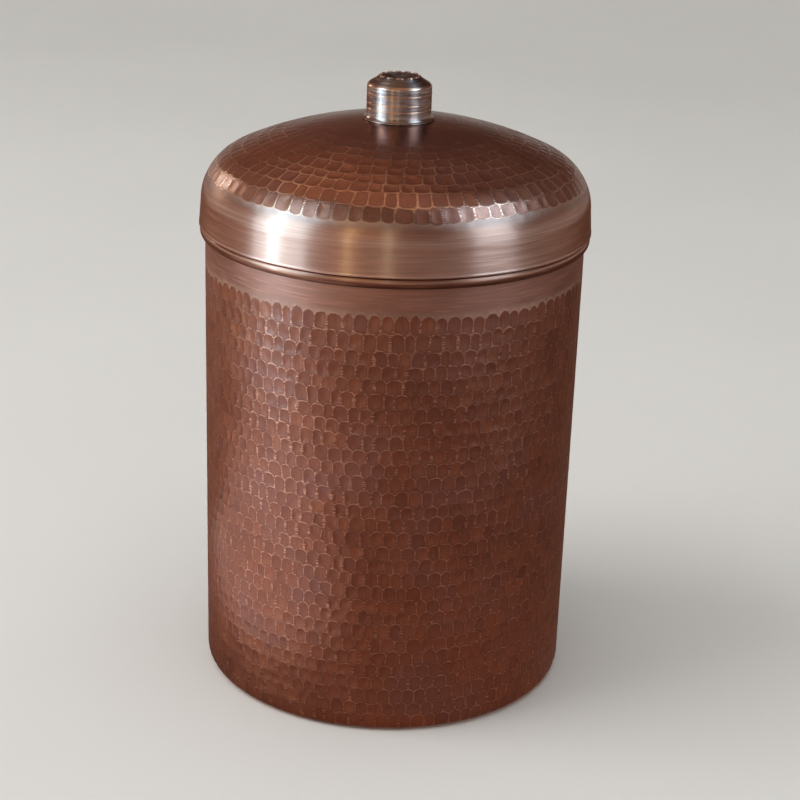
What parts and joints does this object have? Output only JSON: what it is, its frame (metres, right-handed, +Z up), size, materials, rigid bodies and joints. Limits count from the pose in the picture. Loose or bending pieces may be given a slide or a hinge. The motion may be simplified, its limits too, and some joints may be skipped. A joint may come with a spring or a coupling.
{
  "type": "lidded copper water vessel",
  "caption": "Straight round hammered-copper water vessel with a stop bead, wired mouth, flat foot and a lift-off domed lid with a turned knob.",
  "frame": {"origin": "centre of the base, on the face that the vessel stands on", "axes": "+Z up along the axis of the vessel; -Y is the front as pictured"},
  "size_m": [0.1548, 0.1548, 0.2455],
  "materials": {
    "hammered_copper": "hammered, dark antique copper with bright ridges",
    "smooth_copper": "smooth drawn and spun copper, lightly tarnished",
    "turned_copper": "lathe-turned, brushed, greyed copper",
    "brass_fixing": "machined brass"
  },
  "bodies": {
    "vessel": {"body_wall": "hammered_copper", "mouth_wire": "smooth_copper", "rim_bead": "smooth_copper", "base_pan": "smooth_copper"},
    "lid": {"lid_shell": "hammered_copper", "knob": "turned_copper", "knob_washer": "brass_fixing", "knob_screw": "brass_fixing"}
  },
  "joints": [
    {"name": "lid_lift", "type": "slide", "parent": "vessel", "child": "lid", "axis": [0, 0, 1], "range_m": [0, 0.025]}
  ]
}
